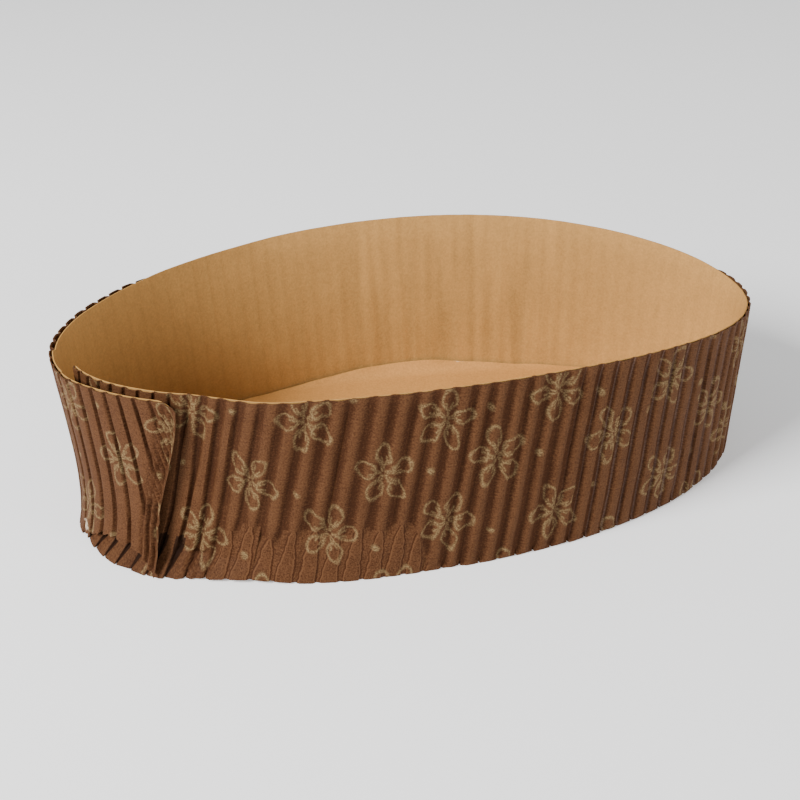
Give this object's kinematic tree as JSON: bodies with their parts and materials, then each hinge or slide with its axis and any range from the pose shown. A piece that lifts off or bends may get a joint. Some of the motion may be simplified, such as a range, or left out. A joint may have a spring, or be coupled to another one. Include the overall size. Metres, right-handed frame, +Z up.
{
  "type": "paper baking mold",
  "caption": "Oval baking mold of single-face corrugated paper: fluted printed wall with a lapped seam, smooth kraft lining, folded lower edge and a flat paper floor.",
  "frame": {"origin": "centre of the footprint on the surface that the mold stands on", "axes": "+X along the oval's length towards the end away from the lap, +Y to the back, +Z up out of the mouth"},
  "size_m": [0.14, 0.0784, 0.0393],
  "materials": {
    "kraft_liner": "matte kraft paper, faint flute marks",
    "printed_flutes": "matte brown print with pale line blossoms on fluted kraft",
    "floor_paper": "matte kraft paper, lighter than the wall"
  },
  "bodies": {
    "root": {"wall_liner": "kraft_liner", "fluted_facing": "printed_flutes", "floor_disc": "floor_paper"}
  },
  "joints": []
}
